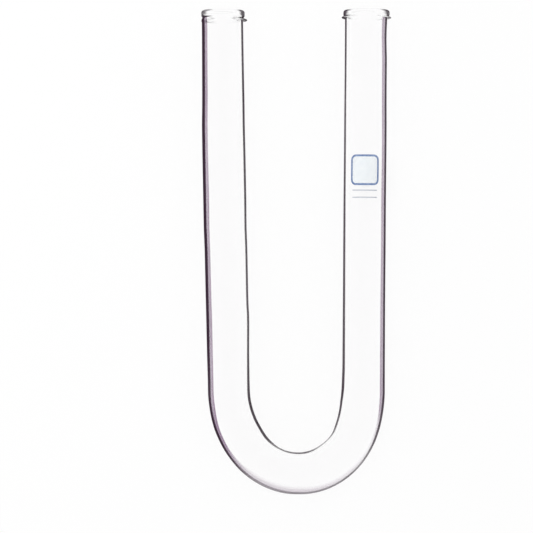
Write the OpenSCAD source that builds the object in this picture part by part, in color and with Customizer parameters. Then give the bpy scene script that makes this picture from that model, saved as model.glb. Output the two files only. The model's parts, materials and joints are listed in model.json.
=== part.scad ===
// A U-shaped drying tube for laboratory gases, bent by hand from one length of
// glass tubing. It lies flat, as it rests on a bench, with its mouths towards +Y.

/* [Tubing] */
// Outside diameter of the glass tubing
tube_od = 18; // [12:0.5:24]
// Thickness of the glass wall
wall = 1.2; // [0.8:0.1:2]
// Radius that the glass loses in each haunch of the bend, where it stretched
draw_down = 0.06; // [0.05:0.01:0.15]

/* [Legs] */
// Straight length of the left leg, from the end of the bend to its rim
left_leg = 161.5; // [60:0.5:240]
// Straight length of the right leg, from the end of the bend to its rim
right_leg = 160.5; // [60:0.5:240]
// Angle at which the left leg leans outwards
left_lean = 1.07; // [0:0.01:3]
// Angle at which the right leg leans outwards
right_lean = 0.41; // [0:0.01:3]

/* [Bend] */
// Centreline radius of the crown, the tight middle of the bend
crown_r = 25.7; // [20:0.1:36]
// Sweep of the crown from its lowest point towards the left leg
left_sweep = 49.3; // [30:0.1:80]
// Sweep of the crown from its lowest point towards the right leg
right_sweep = 69.8; // [30:0.1:80]
// Centreline radius of the haunch between the crown and the left leg
left_haunch_r = 42.1; // [38:0.1:90]
// Centreline radius of the haunch between the crown and the right leg
right_haunch_r = 59.2; // [38:0.1:90]

/* [Lips] */
// How far the rounded bead at each mouth stands out from the tube
bead_out = 0.7; // [0.3:0.05:1.5]
// Height of the bead's straight side, between its two rounded corners
bead_flat = 0.35; // [0.1:0.05:2]
// How far the turned-down edge under the bead stands out from the tube
edge_out = 1.4; // [0.8:0.05:3]
// How far the tip of that edge hangs below the bead
edge_drop = 1.25; // [0.5:0.05:3]
// Thickness of that edge
edge_thick = 0.45; // [0.3:0.05:0.7]
// How far that edge sits to the right of the leg's axis, as hand work leaves it
edge_shift = 0.35; // [0:0.05:0.4]

/* [Hidden] */
$fn = 96;

tube_r = tube_od / 2;
bore_r = tube_r - wall;

// Each haunch runs this far inside the wider stretches on either side of it.
lap = 0.1;
// Each leg narrows over this length at its lower end, to run into its haunch.
taper = 1;
// The bead's inner side reaches this far into the bore, and the bore trims it.
trim = 0.01;
// The bore runs this far out past each rim.
clear = 1;

bead_r = (wall + bead_out + trim) / 2;
bead_axis_r = tube_r + bead_out - bead_r;
bead_height = 2 * bead_r + bead_flat;

edge_tip_r = 0.6 * edge_thick;
edge_root = [tube_r - wall / 2, edge_thick / 2 - bead_height];
edge_tip = [tube_r + edge_out - edge_tip_r, -bead_height - edge_drop];
edge_run = edge_tip - edge_root;

// Centres of curvature of the haunches. The crown's is the origin of the bend.
left_centre = (left_haunch_r - crown_r) * [sin(left_sweep), cos(left_sweep)];
right_centre = (right_haunch_r - crown_r) * [-sin(right_sweep), cos(right_sweep)];

// Middle of each rim, in the plane of the bend.
left_rim = left_centre
    - left_haunch_r * [cos(left_lean), sin(left_lean)]
    + left_leg * [-sin(left_lean), cos(left_lean)];
right_rim = right_centre
    + right_haunch_r * [cos(right_lean), -sin(right_lean)]
    + right_leg * [sin(right_lean), cos(right_lean)];

// The tube rests on its crown and on the turned-down edges, which are wider, so
// the plane of the bend rises a little towards the mouths.
edge_height = (left_rim[1] + right_rim[1]) / 2 + edge_tip[1];
rest_tilt = asin(edge_out / (edge_height + crown_r));
rest_height = tube_r + crown_r * sin(rest_tilt);

// The origin is on the bench, under the middle of the whole tube.
middle = [
    (left_rim[0] + right_rim[0]) / 2 + edge_shift,
    (max(left_rim[1], right_rim[1]) - crown_r - tube_r) / 2
];

// A stretch of the bend, as a rod about its own centre of curvature.
module bent_rod(bend_r, from, to, rod_r) {
    rotate_extrude(angle = to - from, start = from)
        translate([bend_r, 0]) circle(rod_r);
}

// A haunch, drawn down a little, with its lap at both ends.
module haunch(bend_r, from, to, rod_r) {
    lap_angle = lap / bend_r * 180 / PI;
    bent_rod(bend_r, from - lap_angle, to + lap_angle, rod_r - draw_down);
}

// Where the left leg leaves the bend, with +Z towards its mouth.
module at_left_leg() {
    translate(left_centre) rotate([0, 0, left_lean])
        translate([-left_haunch_r, 0, 0]) rotate([-90, 0, 0]) children();
}

// Where the right leg leaves the bend, with +Z towards its mouth.
module at_right_leg() {
    translate(right_centre) rotate([0, 0, -right_lean])
        translate([right_haunch_r, 0, 0]) rotate([-90, 0, 0]) children();
}

// A leg, whose lower end narrows until it is inside the drawn-down haunch.
module leg(length, rod_r) {
    rotate_extrude() polygon([
        [0, -taper], [rod_r - 2 * draw_down, -taper],
        [rod_r, 0], [rod_r, length], [0, length]
    ]);
}

// The run of the whole tube as a solid rod: leg, haunch, crown, haunch, leg.
// The rod of the outside, less the rod of the bore, is the tubing.
module run(rod_r, past_rim) {
    at_left_leg() leg(left_leg + past_rim, rod_r);
    translate(left_centre)
        haunch(left_haunch_r, 180 + left_lean, 270 - left_sweep, rod_r);
    bent_rod(crown_r, -90 - left_sweep, -90 + right_sweep, rod_r);
    translate(right_centre)
        haunch(right_haunch_r, -90 + right_sweep, -right_lean, rod_r);
    at_right_leg() leg(right_leg + past_rim, rod_r);
}

// Section of the bead, with the rim at the top, its corners rounded in the flame.
module bead_section() {
    for (y = [-bead_r, bead_r - bead_height])
        translate([bead_axis_r, y]) circle(bead_r);
    translate([bead_axis_r - bead_r, bead_r - bead_height])
        square([2 * bead_r, bead_flat]);
}

// Section of the turned-down edge: a thin slanting flap with a rounded tip.
module edge_section() {
    translate(edge_root) rotate(atan2(edge_run[1], edge_run[0])) {
        translate([0, -edge_thick / 2]) square([norm(edge_run), edge_thick]);
        translate([norm(edge_run), 0]) circle(edge_tip_r);
    }
}

// A rolled lip, hanging down from its rim.
module lip() {
    rotate_extrude() bead_section();
    translate([edge_shift, 0, 0]) rotate_extrude() edge_section();
}

module glass_tube() {
    color([0.88, 0.92, 0.94, 0.4])
    translate([-middle[0], -middle[1], rest_height]) rotate([rest_tilt, 0, 0])
        difference() {
            union() {
                run(tube_r, -bead_r);
                at_left_leg() translate([0, 0, left_leg]) lip();
                at_right_leg() translate([0, 0, right_leg]) lip();
            }
            run(bore_r, clear);
        }
}

glass_tube();
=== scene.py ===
import json
import math

import bpy
from mathutils import Matrix, Vector


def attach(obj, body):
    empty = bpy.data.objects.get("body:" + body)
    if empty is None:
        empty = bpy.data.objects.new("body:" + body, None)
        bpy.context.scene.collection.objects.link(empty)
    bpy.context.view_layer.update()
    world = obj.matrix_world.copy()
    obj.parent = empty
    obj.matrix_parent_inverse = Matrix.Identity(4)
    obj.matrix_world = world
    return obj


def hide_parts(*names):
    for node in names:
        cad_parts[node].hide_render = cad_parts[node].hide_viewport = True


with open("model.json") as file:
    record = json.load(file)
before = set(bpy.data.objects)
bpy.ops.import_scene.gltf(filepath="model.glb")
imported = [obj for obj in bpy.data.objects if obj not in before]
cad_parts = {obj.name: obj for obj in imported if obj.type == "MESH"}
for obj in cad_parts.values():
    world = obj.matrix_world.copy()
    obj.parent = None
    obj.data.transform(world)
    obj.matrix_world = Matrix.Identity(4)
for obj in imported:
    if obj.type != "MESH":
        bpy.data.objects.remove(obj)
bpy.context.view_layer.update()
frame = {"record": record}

# ---------------------------------------------------------------- the tubing
# One length of clear glass tubing, bent by hand into a U over a flame and then
# lipped at both mouths: the softened end is rolled into a round bead, and the
# glass pushed out below it is left as a thin turned-down edge.

# the glass is drawn in mm and degrees
MM = 0.001
UP = Vector((0, 0, 1))
tube_r = 9.0
bore_r = 7.8
thinned = 0.06

left_leg, right_leg = 161.5, 160.5
left_lean, right_lean = 1.07, 0.41
crown_r = 25.7
left_sweep, right_sweep = 49.3, 69.8
left_haunch_r, right_haunch_r = 42.1, 59.2

# a place along the tube runs from 0 to 1 down the left leg, to 2 round the bend, and to 3
# up the right leg, so these are the places of the two mouths
LEFT, RIGHT = 0.0, 3.0
halfway = 1.5

bead_r = 0.955
bead_axis_r = 8.745
edge_root_r, edge_tip_r = 8.4, 10.12
edge_half = 0.225
tip_round = 0.27
edge_shift = 0.35
notch = 0.12
# how long the bead's straight flank is, and how far below the rim the root and the tip
# of the thin edge lie
lip_depths = {LEFT: (1.20, 2.88, 4.15), RIGHT: (0.90, 2.58, 3.12)}

around = 112
leg_rings = 40
bend_step = 1.9
# rings down the bore below a rim: how high each is, and whether light passes it unbent
bore_rings = ((-6.5, 0), (-5.0, 1), (-2.2, 1), (-1.3, 0))
# rings over the bead, from the bore to its side, and from its side into the waist below,
# and the angles between which the glass there turns smooth enough to pass light unbent
over_start, over_step, over_count = 171, 9.5, 19
waist_step, waist_count = 7.0, 12
waist_angle = -80
waist_in, waist_up = 0.02, 0.04
melting = (0, -40)
# rings on the thin edge's upper face, first as distances from the waist, then round its
# tip, then on its lower face, which reaches this far out, and then where it meets the leg
near_waist, upper_radii = (0.08, 0.3), (9.7, 9.95)
tip_steps = 14
lower_radii, edge_reach = (9.9, 9.6, 9.3, 9.12), 1.2
foot_r = 9.02
below_foot = (0.25, 1.2)
lip_end = -7.0
# the lips take the place of this many stations at each end of the path
in_lip = 2


def eased(x, start=0.0, end=1.0):
    """0 up to the start, 1 from the end on, and an easy curve between."""
    x = min(max((x - start) / (end - start), 0.0), 1.0)
    return x * x * (3 - 2 * x)


def turned(degrees):
    """The direction at this angle in the plane of the U, with +Y towards the mouths."""
    return Vector((math.cos(math.radians(degrees)), math.sin(math.radians(degrees)), 0))


def bend(centre, radius, start, end, loss):
    """Stations round one part of the bend: (point, way along, radius lost, place)."""
    steps = math.ceil((end - start) / bend_step)
    for i in range(steps + 1):
        share = i / steps
        angle = start + (end - start) * share
        lost = loss * eased(2 * min(share, 1 - share))
        yield centre + radius * turned(angle), turned(angle + 90), lost, angle / 180


def tube_path():
    """Stations from the left mouth to the right one, each as bend() gives them."""
    crown = Vector((0, 0, 0))
    left_centre = crown - (left_haunch_r - crown_r) * turned(-90 - left_sweep)
    right_centre = crown - (right_haunch_r - crown_r) * turned(-90 + right_sweep)
    down, up = turned(-90 + left_lean), turned(90 - right_lean)
    left_end = left_centre + left_haunch_r * turned(180 + left_lean)
    right_end = right_centre + right_haunch_r * turned(-right_lean)
    shares = [i / leg_rings for i in range(leg_rings)]
    stations = [(left_end - down * left_leg * (1 - s), down, 0.0, s) for s in shares]
    stations += bend(left_centre, left_haunch_r, 180 + left_lean, 270 - left_sweep, thinned)
    stations += list(bend(crown, crown_r, 270 - left_sweep, 270 + right_sweep, 0.0))[1:]
    stations += list(bend(
        right_centre, right_haunch_r, 270 + right_sweep, 360 - right_lean, thinned))[1:]
    shares = [(i + 1) / leg_rings for i in range(leg_rings)]
    return stations + [(right_end + up * right_leg * s, up, 0.0, 2 + s) for s in shares]


# Flame-worked glass is never quite even. Each row is a place along the tube, and then in mm
# how far the skin stands out on its outer side and towards the gap. The rest is painted
# shade at the glass's edges, in place of the dark surroundings that real glass bends into
# view at its sides: how wide and how strong the painted dark of the outer side is, how far
# in the painted shade behind it starts to fade and is gone, how strong it is and how much
# darker the painted line along its border, and how wide and how strong the painted dark
# is by the gap.
unevenness_and_painted_edges = [
    (0.00, -0.48, 0.06, 1.20, 1.00, 2.20, 2.45, 0.93, 0.00, 0.90, 0.92),
    (0.05, -0.43, 0.03, 1.28, 1.00, 2.25, 2.50, 0.96, 0.00, 0.90, 0.92),
    (0.13, -0.25, -0.02, 1.26, 1.00, 2.25, 2.48, 0.97, 0.00, 0.90, 0.92),
    (0.24, 0.03, 0.00, 1.22, 1.00, 2.25, 2.50, 1.00, 0.00, 0.90, 0.95),
    (0.30, 0.33, -0.06, 1.27, 1.00, 2.25, 2.50, 0.93, 0.00, 0.90, 0.93),
    (0.37, 0.38, 0.00, 1.28, 1.00, 2.25, 2.48, 0.88, 0.00, 0.90, 0.92),
    (0.50, 0.37, 0.00, 1.20, 1.00, 2.40, 2.52, 0.90, 0.18, 0.88, 0.92),
    (0.57, 0.38, -0.12, 1.21, 1.00, 2.30, 2.48, 0.92, 0.10, 0.88, 0.91),
    (0.63, 0.18, 0.06, 1.22, 1.00, 2.22, 2.45, 0.95, 0.00, 0.88, 0.90),
    (0.77, 0.10, 0.06, 1.22, 1.00, 2.35, 2.52, 0.95, 0.00, 0.90, 0.90),
    (0.81, 0.05, 0.33, 1.22, 1.00, 2.38, 2.54, 0.94, 0.04, 0.90, 0.90),
    (0.90, 0.00, 0.00, 1.15, 1.00, 2.42, 2.55, 0.92, 0.08, 0.92, 0.90),
    (0.98, -0.12, -0.07, 1.22, 0.95, 2.35, 2.50, 0.90, 0.24, 1.05, 0.93),
    (1.05, -0.06, 0.02, 1.02, 0.98, 2.35, 2.48, 0.98, 0.22, 1.15, 0.95),
    (1.11, 0.30, 0.16, 1.02, 1.00, 1.95, 2.12, 1.18, 0.08, 1.12, 0.95),
    (1.17, 0.35, 0.18, 0.92, 0.97, 1.75, 2.05, 1.12, 0.00, 1.10, 0.95),
    (1.21, 0.26, -0.02, 0.88, 0.90, 1.30, 2.60, 0.92, 0.00, 1.15, 0.93),
    (1.28, 0.10, -0.05, 1.05, 0.70, 1.20, 3.60, 0.58, 0.00, 0.90, 0.80),
    (1.34, 0.05, -0.23, 1.15, 0.54, 1.25, 4.00, 0.56, 0.00, 0.65, 0.72),
    (1.45, 0.10, -0.21, 1.05, 0.56, 1.15, 4.00, 0.58, 0.00, 0.70, 0.78),
    (1.50, -0.03, -0.20, 0.90, 0.61, 1.00, 4.00, 0.58, 0.00, 0.72, 0.80),
    (1.54, 0.10, -0.19, 0.85, 0.58, 0.95, 3.70, 0.56, 0.00, 0.76, 0.83),
    (1.56, 0.13, -0.18, 0.85, 0.57, 0.90, 3.50, 0.55, 0.00, 0.78, 0.85),
    (1.62, 0.13, -0.11, 0.80, 0.63, 0.85, 3.20, 0.49, 0.00, 0.68, 0.75),
    (1.67, 0.10, 0.00, 0.78, 0.66, 0.85, 3.00, 0.42, 0.00, 0.50, 0.60),
    (1.73, 0.05, 0.00, 0.76, 0.73, 0.85, 2.90, 0.37, 0.00, 0.45, 0.55),
    (1.78, 0.05, -0.12, 0.76, 0.65, 0.85, 2.60, 0.31, 0.00, 0.48, 0.58),
    (1.82, 0.07, -0.11, 0.80, 0.72, 0.85, 2.40, 0.27, 0.00, 0.60, 0.68),
    (1.86, 0.18, -0.01, 0.85, 0.81, 0.90, 2.00, 0.25, 0.00, 0.75, 0.78),
    (1.92, 0.48, 0.22, 0.88, 0.88, 1.10, 1.90, 0.58, 0.00, 0.85, 0.90),
    (1.96, 0.37, 0.47, 0.92, 0.90, 1.80, 2.10, 0.94, 0.05, 0.90, 0.95),
    (2.00, 0.14, 0.25, 0.84, 0.93, 2.00, 2.12, 0.94, 0.16, 1.12, 0.95),
    (2.05, 0.10, 0.00, 0.83, 0.93, 2.00, 2.12, 0.90, 0.14, 1.06, 0.93),
    (2.23, 0.02, 0.02, 0.84, 0.93, 1.93, 2.10, 0.90, 0.00, 1.00, 0.90),
    (2.37, 0.05, 0.03, 0.84, 0.94, 1.88, 2.02, 0.86, 0.00, 0.92, 0.92),
    (2.50, 0.03, 0.04, 0.82, 0.94, 1.90, 2.08, 0.90, 0.00, 0.86, 0.92),
    (2.63, 0.10, 0.00, 0.82, 0.92, 1.85, 2.00, 0.87, 0.00, 0.82, 0.90),
    (2.70, 0.08, 0.00, 0.82, 0.93, 1.90, 2.03, 0.86, 0.08, 0.80, 0.91),
    (2.76, -0.02, -0.02, 0.82, 0.92, 1.92, 2.03, 0.86, 0.14, 0.76, 0.92),
    (2.82, -0.03, -0.04, 0.80, 0.92, 1.93, 2.08, 0.88, 0.05, 0.78, 0.92),
    (2.87, 0.00, -0.03, 0.81, 0.92, 1.94, 2.12, 0.88, 0.00, 0.79, 0.92),
    (2.92, -0.26, -0.02, 0.83, 0.92, 1.96, 2.14, 0.88, 0.00, 0.80, 0.92),
    (2.95, -0.18, -0.01, 0.84, 0.91, 1.98, 2.16, 0.87, 0.00, 0.80, 0.92),
    (2.98, 0.02, 0.00, 0.86, 0.90, 2.00, 2.18, 0.86, 0.00, 0.80, 0.92),
    (3.00, -0.06, 0.00, 0.88, 0.90, 2.00, 2.20, 0.86, 0.00, 0.80, 0.92),
]


def unevenness_and_painted_edges_at(place):
    """The row for this place, drawn straight between the two rows beside it."""
    for before, after in zip(unevenness_and_painted_edges, unevenness_and_painted_edges[1:]):
        if place <= after[0]:
            share = (place - before[0]) / (after[0] - before[0])
            return [a + (b - a) * share for a, b in zip(before[1:], after[1:])]
    return unevenness_and_painted_edges[-1][1:]


def skin_point(point, way, place, radius, a):
    """The point at this angle on a ring, drawn out or in as the glass wanders there."""
    stands_out, stands_in = unevenness_and_painted_edges_at(place)[:2]
    side = math.cos(a)
    wander = (stands_out * (1 + side) - stands_in * (1 - side)) / 2
    return point + (radius * side + wander) * way.cross(UP) + radius * math.sin(a) * UP


def lip_section(place):
    """A lip's outline, from the bore round to the tube's skin, as rows of what a ring needs.

    Each row is (radius, height above the rim, how far it follows the edge's shift, kind,
    angle round the bead, how far light passes it unbent).
    """
    flank, root_depth, tip_depth = lip_depths[place]
    root = Vector((edge_root_r, -root_depth))
    way = (Vector((edge_tip_r, -tip_depth)) - root).normalized()
    up = Vector((-way.y, way.x))

    def on_edge(r, above):
        """The height of the thin edge's upper (1) or lower (-1) face at this radius."""
        along = r - root.x - above * edge_half * up.x
        return root.y + above * edge_half * up.y + way.y * along / way.x

    rows = [(bore_r, h, 0.0, "bore", 0, still) for h, still in bore_rings]
    turns = [(over_start - over_step * i, -bead_r) for i in range(over_count)]
    turns += [(-waist_step * i, -bead_r - flank) for i in range(waist_count)]
    for turn, centre_h in turns:
        r = bead_axis_r + bead_r * math.cos(math.radians(turn))
        h = centre_h + bead_r * math.sin(math.radians(turn))
        if turn < 0 and h < on_edge(r, 1) + notch:
            break
        rows.append((r, h, 0.0, "bead", turn, eased(turn, *melting)))

    waist_r = rows[-1][0] - waist_in
    rows.append((waist_r, on_edge(waist_r, 1) + waist_up, 0.1, "bead", waist_angle, 1))
    rows += [(waist_r + d, on_edge(waist_r + d, 1), 0.3, "edge", 0, 1) for d in near_waist]
    rows += [(r, on_edge(r, 1), 0.7, "edge", 0, 1) for r in upper_radii]
    slope = math.degrees(math.atan2(way.y, way.x))
    over = math.degrees(math.asin(edge_half / tip_round))
    for i in range(tip_steps + 1):
        a = math.radians(slope + 180 - over + (2 * over - 360) * i / tip_steps)
        r, h = edge_tip_r + tip_round * math.cos(a), -tip_depth + tip_round * math.sin(a)
        rows.append((r, h, 1.0, "edge", 0, 1))
    for r in lower_radii:
        rows.append((r, on_edge(r, -1), (r - tube_r) / edge_reach, "edge", 0, 1))
    foot = on_edge(lower_radii[-1], -1)
    rows.append((foot_r, foot - waist_up, 0.0, "leg", 0, 1))
    leg_heights = [foot - drop for drop in below_foot] + [lip_end]
    return rows + [(tube_r, h, 0.0, "leg", 0, 0) for h in leg_heights]


def lip_rings(station, place, sign, leg):
    """One lip's rings. The sign is 1 where the path leads out of the mouth, -1 where in."""
    rim, way = station[:2]
    lip = []
    for r, h, follows, kind, turn, still in lip_section(place):
        ring_place = place + sign * h / leg if kind == "leg" else place
        lip.append((rim + sign * way * h, way, r, follows, ring_place, kind, turn, still))
    return lip


def tube_rings():
    """Every ring of the closed skin, along the outside of the tube and back by its bore.

    Each ring is (middle, way along, radius, how far it follows the edge's shift, place,
    kind, angle round the bead, how far light passes it unbent).
    """
    path = tube_path()
    left = lip_rings(path[0], LEFT, -1, left_leg)
    right = lip_rings(path[-1], RIGHT, 1, right_leg)

    def outer(lip):
        return [ring for ring in lip if ring[2] >= bead_axis_r]

    def inner(lip):
        return [ring for ring in lip if ring[2] < bead_axis_r]

    def plain(radius, kind):
        return [(point, way, radius - lost, 0.0, place, kind, 0, 0)
                for point, way, lost, place in path[in_lip:-in_lip]]

    skin, bore = plain(tube_r, "leg"), plain(bore_r, "bore")
    return outer(left) + skin + outer(right)[::-1] + inner(right)[::-1] + bore[::-1] + inner(left)


def share_in(width):
    """How far off the middle a point this far in from the edge is seen, squared."""
    return ((tube_r - width) / tube_r) ** 2


def blend(a, b, share):
    """From a, at share 0, to b, at share 1, number by number."""
    return [x + (y - x) * share for x, y in zip(a, b)]


# Where a lip's painted dark starts and is full, first on its outer side and then by the gap:
# over the bead, on its flank and in the waist below it. Then how strong the painted dark is
# on the flank and on the thin edge. It is painted shade, as on the tube's edges.
lip_dark = {
    LEFT: (
        (0.10, 0.55, 0.68, 0.88, 0.12, 0.60, 0.64, 1.00),
        (0.40, 0.72, 0.60, 0.82, 0.76, 0.90, 0.90, 0.75)),
    RIGHT: (
        (0.36, 0.78, 0.58, 0.86, 0.72, 0.88, 0.88, 0.45),
        (0.33, 0.77, 0.66, 0.86, 0.40, 0.64, 0.95, 0.90)),
}
edge_dark = (0.74, 0.86)
waist_strength = 0.95
# Angles round the bead between which its painted dark passes from none by the bore to all
# of it, from the flank's to that over the bead, and from the flank's to the waist's.
from_bore, to_top, to_waist = (150, 100), (-15, 20), (-20, -50)


def lip_dark_at(row, kind, turn):
    """(start, full, strength) of the painted dark on a ring of the lip, on the row's side of it.
    """
    top_start, top_full, start, full, waist_start, waist_full, strength, on_edge = row
    if kind == "edge":
        return *edge_dark, on_edge
    top, waist = eased(turn, *to_top), eased(turn, *to_waist)
    start += (top_start - start) * top + (waist_start - start) * waist
    full += (top_full - full) * top + (waist_full - full) * waist
    strength += (waist_strength - strength) * waist
    return start, full, strength * eased(turn, *from_bore)


# how soft the painted darks' borders are, and how far inside the painted shade's border its line
# runs
soft = 0.12
line_in = 0.16
# how far each bead's outer side stands out, and up towards the mouth
bulges = {LEFT: (-0.5, 0.35), RIGHT: (0.35, 0.08)}
# how much of its reach the thin edge has lost where it was pressed flat
flattened = 0.85
# the gap side's look gives way to the outer side's between these cosines round the tube
sides = (-0.6, 0.6)
no_shade = (0.5, 0.6, 0.0)
no_dark = (0.8, 0.95, 0.0)

verts, along_at, outward_at, dark_at, shade_at, finer_at = [], [], [], [], [], []
rings = tube_rings()
for point, way, radius, follows, place, kind, turn, still in rings:
    width, strength, fading, gone, depth, line, gap_width, gap_strength = unevenness_and_painted_edges_at(place)[2:]
    out = way.cross(UP)
    mouthward = way if place > halfway else -way
    # the painted dark and painted shade at the glass's edges, on the outer side and by the gap
    dark_outer = (share_in(width + soft), share_in(width - soft), strength)
    dark_gap = (share_in(gap_width + soft), share_in(gap_width - soft), gap_strength)
    shade_outer = (share_in(gone), share_in(fading), depth)
    shade_gap = (share_in(gone), share_in(fading), 0.0)
    # at the left mouth's outer side the thin edge is pressed flat, and looks like the leg
    pressed = kind == "edge" and place == LEFT
    if kind in ("bead", "edge"):
        lip_outer, dark_gap = (lip_dark_at(row, kind, turn) for row in lip_dark[place])
        dark_outer = dark_outer if pressed else lip_outer
    if kind != "leg" and not pressed:
        shade_outer = shade_gap = no_shade
        line = 0.0
    if kind == "bore":
        dark_outer = dark_gap = no_dark
    for k in range(around):
        a = 2 * math.pi * k / around
        side = math.cos(a)
        share = eased(side, *sides)
        pushed, raised = 0.0, 0.0
        if kind == "bead":
            pushed, raised = (amount * eased(side) for amount in bulges[place])
        if pressed:
            pushed = -flattened * (radius - tube_r) * eased(side)
        pushed += follows * edge_shift * (share if place == RIGHT else share - 1)
        verts.append(skin_point(point, way, place, radius, a) + pushed * out + raised * mouthward)
        along_at.append(way)
        outward_at.append(side * out + math.sin(a) * UP)
        dark_at.append(blend(dark_gap, dark_outer, share))
        shade_at.append(blend(shade_gap, shade_outer, share))
        finer_at.append((share_in(fading - line_in), line * share, still))

faces = []
for i in range(len(rings)):
    j = (i + 1) % len(rings)
    for k in range(around):
        n = (k + 1) % around
        faces.append((i * around + k, j * around + k, j * around + n, i * around + n))

# it lies as the record's mouths lie: they look a little upwards, and each is known by
# the point on its axis this far inside the rim
mouth_depth = 1.5
mouth = {m["name"]: m for m in frame["record"]["mounts"]}["left_mouth"]
axis = Vector(mouth["axis"])
tilt = Matrix.Rotation(math.atan2(axis.z, axis.y), 3, "X")
left_rim, down = tube_path()[0][:2]
seat = Vector(mouth["pos_m"]) - tilt @ (left_rim + down * mouth_depth) * MM
tube_mesh = bpy.data.meshes.new("glass_tubing")
tube_mesh.from_pydata([tilt @ v * MM + seat for v in verts], [], faces)
for f in tube_mesh.polygons:
    f.use_smooth = True

# What the finish reads at each point: the way along the tube and the way out from its
# middle; where the painted dark starts and is full, and its strength; the same of the
# painted shade; and where the painted shade's line runs, its strength, and how far light
# passes unbent.
facts = {
    "along": along_at,
    "outward": outward_at,
    "dark": dark_at,
    "shade": shade_at,
    "finer": finer_at,
}
for name, values in facts.items():
    layer = tube_mesh.attributes.new(name, "FLOAT_VECTOR", "POINT")
    for item, value in zip(layer.data, values):
        item.vector = tilt @ value if name in ("along", "outward") else value


class Wire:
    """A socket among a material's nodes. Sums and products of wires add their own nodes."""

    def __init__(self, tree, socket=None):
        self.tree, self.socket = tree, socket

    def node(self, kind, settings=None, values=None, out=0):
        """Adds a node, with its settings first and then its sockets' values or wires."""
        made = self.tree.nodes.new("ShaderNode" + kind)
        for name, value in (settings or {}).items():
            setattr(made, name, value)
        for name, value in (values or {}).items():
            if isinstance(value, Wire):
                self.tree.links.new(value.socket, made.inputs[name])
            else:
                made.inputs[name].default_value = value
        return Wire(self.tree, made.outputs[out]) if len(made.outputs) else made

    def part(self, name):
        """One number, X, Y or Z, of a vector."""
        return self.node("SeparateXYZ", {}, {0: self}, name)

    def ramped(self, low, high):
        """0 up to low, 1 from high on, and an easy curve between."""
        return self.node(
            "MapRange", {"interpolation_type": "SMOOTHSTEP"},
            {"Value": self, "From Min": low, "From Max": high})

    def worked(self, operation, first, second):
        return self.node("Math", {"operation": operation}, {0: first, 1: second})

    def __add__(self, other):
        return self.worked("ADD", self, other)

    def __sub__(self, other):
        return self.worked("SUBTRACT", self, other)

    def __rsub__(self, other):
        return self.worked("SUBTRACT", other, self)

    def __mul__(self, other):
        return self.worked("MULTIPLY", self, other)

    def __truediv__(self, other):
        return self.worked("DIVIDE", self, other)

    __radd__ = __add__
    __rmul__ = __mul__


def new_finish(name):
    """A material without nodes, and the wire that its nodes are added from."""
    material = bpy.data.materials.new(name)
    material.use_nodes = True
    material.node_tree.nodes.clear()
    return material, Wire(material.node_tree)


GLASS = {"Metallic": 0.0, "Roughness": 0.0, "IOR": 1.47, "Transmission Weight": 1.0}
UNBENDING = {**GLASS, "IOR": 1.0}
# with this Blend, Facing is 1 less the squared cosine of the angle to the line of sight
squared = 0.75
line_half = 0.032
# the lip's folds pass light unbent where the Facing of the way out from the tube's middle
# is up to the first of these, and bend it from the second on
square_on, aslant = 0.10, 0.36
# the clear glass's own faint colour, and the lilac of the painted shade at its edges
untinted, painted_shade_colour = (1.0, 0.9995, 1.0, 1), (0.40, 0.32, 0.405, 1)

clear_glass, glass = new_finish("clear_glass")
along, outward, dark, shade, finer = (
    glass.node("Attribute", {"attribute_name": name}, out="Vector") for name in facts)
# how far off the tube's middle line a point is seen, squared: 1 at the edge
endwise = glass.node("LayerWeight", {}, {"Blend": squared, "Normal": along}, "Facing")
across = glass.node("LayerWeight", {}, {"Blend": squared, "Normal": outward}, "Facing")
off_middle = (across + endwise - 1) / endwise

# painted dark and painted shade at the glass's edges, where its sides are seen at a slant, in
# place of the dark surroundings that real glass bends into view
core = off_middle.ramped(dark.part("X"), dark.part("Y")) * dark.part("Z")
off_line = (off_middle - finer.part("X")) / line_half
fine_line = glass.node("Clamp", {}, {"Value": 1 - off_line * off_line}) * finer.part("Y")
painted_shade = off_middle.ramped(shade.part("X"), shade.part("Y")) * shade.part("Z") + fine_line
seen_through = glass.node(
    "Mix", {"data_type": "RGBA", "clamp_factor": False},
    {"Factor": painted_shade, "A": untinted, "B": painted_shade_colour}, "Result")
glass_tint_and_painted_shade = glass.node("VectorMath", {"operation": "MULTIPLY"}, {0: seen_through, 1: seen_through})
clear = glass.node("BsdfPrincipled", {}, {**GLASS, "Base Color": glass_tint_and_painted_shade})
# a near-black diffuse mixed into the edges: painted shade
painted_dark_edge = glass.node("BsdfDiffuse", {}, {"Color": (0.045, 0.025, 0.042, 1)})
# seen square on, the lip's folds have melted so smooth that they bend no light
melted = finer.part("Z") * (1 - across.ramped(square_on, aslant))
unbent = glass.node("BsdfPrincipled", {}, {**UNBENDING, "Base Color": glass_tint_and_painted_shade})
passing = glass.node("MixShader", {}, {0: melted, 1: clear, 2: unbent})
edged = glass.node("MixShader", {}, {0: core, 1: passing, 2: painted_dark_edge})
for_lamps = glass.node("BsdfTransparent", {}, {"Color": (0.985, 0.98, 0.985, 1)})
in_shadow = glass.node("LightPath", out="Is Shadow Ray")
surface = glass.node("MixShader", {}, {0: in_shadow, 1: edged, 2: for_lamps})
glass.node("OutputMaterial", {}, {"Surface": surface})

tube = bpy.data.objects.new("glass_tubing", tube_mesh)
bpy.context.scene.collection.objects.link(tube)
tube_mesh.materials.append(clear_glass)
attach(tube, "root")
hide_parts("glass_tube")

# ---------------------------------------------------------------- the marking patch
# A plain writing patch fired on to the top of the right leg: a frame of blue enamel round
# a thin white frosting, with two ruled lines below it. It is a film, a hair above the skin.
patch_below_rim = 68.2
patch_turn = math.radians(92.8)
patch_w, patch_h, patch_corner = 12.6, 13.0, 2.4
frame_w = 0.85
line_w, line_h = 11.0, 0.34
line_drops = (8.6, 11.6)
film_low, film_high = 9.012, 9.04
film_step, row_step = 0.45, 1.5
corner_steps = 8


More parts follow.
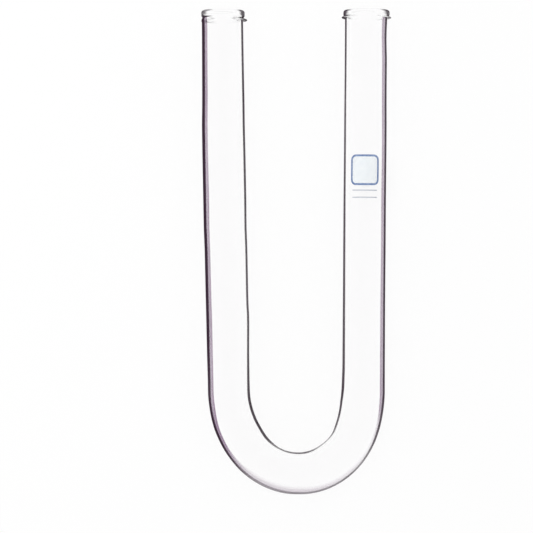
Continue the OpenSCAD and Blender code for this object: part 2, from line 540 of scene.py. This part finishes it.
def film(name, rows, closed, finish):
    """A thin closed piece laid on the right leg, from rows of points (round it, along it)."""
    rim, up = tube_path()[-1][:2]
    film_verts = []
    for radius in (film_high, film_low):
        for points in rows:
            for round_it, along_it in points:
                down_leg = patch_below_rim - along_it
                place = RIGHT - down_leg / right_leg
                a = patch_turn - round_it / tube_r
                film_verts.append(skin_point(rim - up * down_leg, up, place, radius, a))

    count = len(rows[0])
    under = len(rows) * count
    last = under - count
    spans = range(count if closed else count - 1)
    film_faces = []
    for row in range(0, last, count):
        for k in spans:
            n = (k + 1) % count
            quad = (row + k, row + n, row + count + n, row + count + k)
            film_faces += [tuple(under + v for v in quad), quad[::-1]]
    for k in spans:
        n = (k + 1) % count
        film_faces.append((k, n, under + n, under + k))
        film_faces.append((last + n, last + k, under + last + k, under + last + n))
    if not closed:
        for row in range(0, last, count):
            beside = row + count
            film_faces.append((beside, row, under + row, under + beside))
            end, end_beside = beside - 1, beside + count - 1
            film_faces.append((end, end_beside, under + end_beside, under + end))

    mesh = bpy.data.meshes.new(name)
    mesh.from_pydata([tilt @ v * MM + seat for v in film_verts], [], film_faces)
    mesh.materials.append(finish)
    piece = bpy.data.objects.new(name, mesh)
    bpy.context.scene.collection.objects.link(piece)
    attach(piece, "root")


def rounded_outline(width, height, corner):
    """Points round a rounded rectangle, close enough together to follow the tube."""
    points = []
    for quarter, (sx, sy) in enumerate(((1, 1), (-1, 1), (-1, -1), (1, -1))):
        middle = Vector((sx * (width / 2 - corner), sy * (height / 2 - corner)))
        for i in range(corner_steps + 1):
            points.append(middle + corner * turned(90 * (quarter + i / corner_steps)).xy)
        run = turned(90 * quarter + 180).xy
        length = (width if sx == sy else height) - 2 * corner
        steps = math.ceil(length / film_step)
        points += [points[-1] + run * length * i / steps for i in range(1, steps)]
    return points


def filled(width, height, corner, drop=0.0):
    """Rows of points that fill a rounded rectangle."""
    straight = height / 2 - corner
    quarters = [math.pi / 2 * i / corner_steps for i in range(corner_steps, 0, -1)]
    rounded = [straight + corner * math.sin(a) for a in quarters]
    steps = math.ceil(2 * straight / row_step)
    middle = [straight - 2 * straight * i / max(steps, 1) for i in range(steps + 1)]
    columns = math.ceil(width / film_step)
    rows = []
    for h in rounded + middle + [-h for h in reversed(rounded)]:
        into = max(abs(h) - straight, 0.0)
        half = width / 2 - corner + math.sqrt(max(corner ** 2 - into ** 2, 0.0))
        rows.append([(half * (2 * k / columns - 1), h - drop) for k in range(columns + 1)])
    return rows


thin_spots, bare_specks = (0.35, 0.72), (0.62, 0.72)
bareness = 0.6


def enamel(name, thick, thin, cover):
    """Fired ink: mottled where it lies thick or thin, with a few bare specks."""
    finish, ink = new_finish(name)
    spot = ink.node("TexCoord", out="Object")
    mottle = ink.node("TexNoise", {}, {"Vector": spot, "Scale": 1400.0, "Detail": 3.0}, "Fac")
    specks = ink.node("TexNoise", {}, {"Vector": spot, "Scale": 3800.0, "Detail": 1.0}, "Fac")
    colour = ink.node(
        "Mix", {"data_type": "RGBA"},
        {"Factor": mottle.ramped(*thin_spots), "A": thick, "B": thin}, "Result")
    grain = ink.node("Bump", {}, {"Height": mottle, "Strength": 0.25, "Distance": 0.00005})
    fired = ink.node("BsdfPrincipled", {}, {
        "Base Color": colour,
        "Roughness": 0.38,
        "Alpha": cover * (1 - bareness * specks.ramped(*bare_specks)),
        "Normal": grain})
    ink.node("OutputMaterial", {}, {"Surface": fired})
    return finish


blue_enamel = enamel("blue_enamel", (0.115, 0.185, 0.38, 1), (0.27, 0.36, 0.56, 1), 0.92)
pale_enamel = enamel("pale_enamel", (0.30, 0.34, 0.44, 1), (0.45, 0.49, 0.58, 1), 0.75)

frosting, frost = new_finish("frosting")
on_patch = frost.node("TexCoord", out="Object")
cloud = frost.node("TexNoise", {}, {"Vector": on_patch, "Scale": 500.0, "Detail": 4.0}, "Fac")
milk = frost.node(
    "Mix", {"data_type": "RGBA"},
    {"Factor": cloud, "A": (0.82, 0.89, 0.94, 1), "B": (0.92, 0.96, 0.98, 1)}, "Result")
ground = frost.node("BsdfPrincipled", {}, {"Base Color": milk, "Roughness": 0.7, "Alpha": 0.34})
frost.node("OutputMaterial", {}, {"Surface": ground})

outside = (patch_w, patch_h, patch_corner)
inside = (patch_w - 2 * frame_w, patch_h - 2 * frame_w, patch_corner - frame_w)
film("patch_frame", [rounded_outline(*inside), rounded_outline(*outside)], True, blue_enamel)
film("patch_frosting", filled(*inside), False, frosting)
for number, drop in enumerate(line_drops, 1):
    film("patch_line_%d" % number, filled(line_w, line_h, line_h / 2, drop), False, pale_enamel)

# ---------------------------------------------------------------- the bench and the light
# A plain white bench top, lit softly from above.
bench_size, bench_drop = 6, 0.0004
bench_glow = 0.85
sky_dim = 0.6


def seen_directly(wire):
    """1 for what the eye sees, also in a reflection or through glass, and 0 for the rest."""
    kinds = ("Is Camera Ray", "Is Glossy Ray", "Is Transmission Ray")
    eye, reflected, through = (wire.node("LightPath", out=kind) for kind in kinds)
    return wire.node("Clamp", {}, {"Value": eye + reflected + through})


bpy.ops.mesh.primitive_plane_add(size=bench_size, location=(0, 0, -bench_drop))
bench = bpy.context.object
bench.name = "bench_top"
bench_white, top = new_finish("bench_white")
matt = top.node("BsdfDiffuse", {}, {"Color": (0.9, 0.9, 0.9, 1)})
glow = top.node("Emission", {}, {"Color": (1.0, 1.0, 1.0, 1), "Strength": 1.0})
bright = top.node("MixShader", {}, {0: seen_directly(top) * bench_glow, 1: matt, 2: glow})
top.node("OutputMaterial", {}, {"Surface": bright})
bench.data.materials.append(bench_white)

world = bpy.data.worlds.new("studio")
bpy.context.scene.world = world
world.use_nodes = True
world.node_tree.nodes.clear()
sky = Wire(world.node_tree)
sky_strength = sky_dim + (1 - sky_dim) * seen_directly(sky)
light = sky.node("Background", {}, {"Color": (1, 1, 1, 1), "Strength": sky_strength})
sky.node("OutputWorld", {}, {"Surface": light})

lamp_data = bpy.data.lights.new("overhead_lamp", "AREA")
lamp_data.shape = "DISK"
lamp_data.size = 0.7
lamp_data.energy = 10
lamp = bpy.data.objects.new("overhead_lamp", lamp_data)
lamp.location = (-0.35, 0.25, 1.3)
lamp.rotation_euler = (-lamp.location).to_track_quat("-Z", "Y").to_euler()
bpy.context.scene.collection.objects.link(lamp)
lamp.visible_glossy = lamp.visible_transmission = lamp.visible_camera = False

# ---------------------------------------------------------------- the camera
# It looks straight down. Half the width that it sees, at one metre, is half_view.
half_view = 0.11366
camera_data = bpy.data.cameras.new("camera")
camera_data.sensor_width = 36
camera_data.lens = camera_data.sensor_width / 2 / half_view
camera = bpy.data.objects.new("camera", camera_data)
camera.location = (-0.012028, -0.005988, 1.0098)
camera.rotation_euler = (0, 0, 0)
bpy.context.scene.collection.objects.link(camera)
bpy.context.scene.camera = camera
bpy.context.scene.view_settings.view_transform = "Standard"
